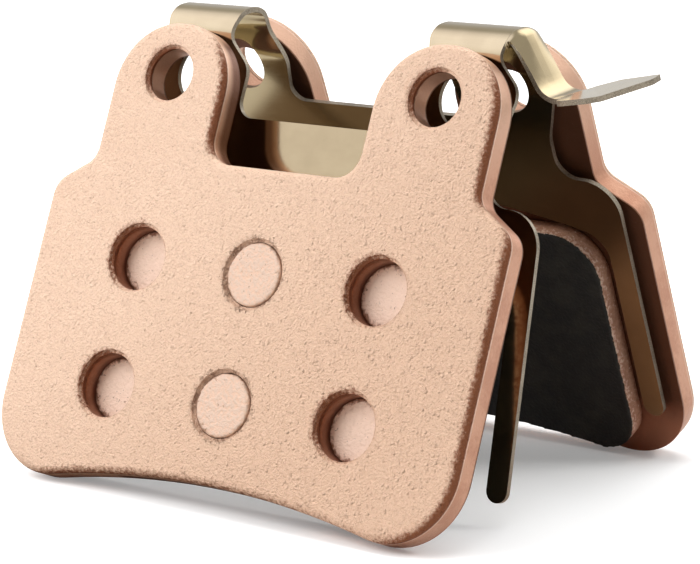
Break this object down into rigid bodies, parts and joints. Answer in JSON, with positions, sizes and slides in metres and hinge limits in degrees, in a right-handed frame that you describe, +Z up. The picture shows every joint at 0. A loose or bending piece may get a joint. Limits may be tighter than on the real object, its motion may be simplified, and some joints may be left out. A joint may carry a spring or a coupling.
{
  "type": "bicycle disc brake pad set",
  "caption": "Copper sprayed disc brake pads for a bicycle, leaning together on a folded return spring with a raised tab.",
  "frame": {"origin": "centre of the bounding box's bottom face, on the surface the set stands on", "axes": "+X along the pads' width towards the spring's tab, +Y from the near pad to the far pad, +Z up"},
  "size_m": [0.048, 0.036, 0.0346],
  "materials": {
    "copper_spray": "fine grained copper spray, satin",
    "friction_compound": "matt, pressed and cured",
    "spring_steel": "polished, straw tinted"
  },
  "bodies": {
    "root": {"front_backing_plate": "copper_spray", "front_friction_block": "friction_compound", "rear_backing_plate": "copper_spray", "rear_friction_block": "friction_compound", "return_spring": "spring_steel"}
  },
  "joints": []
}
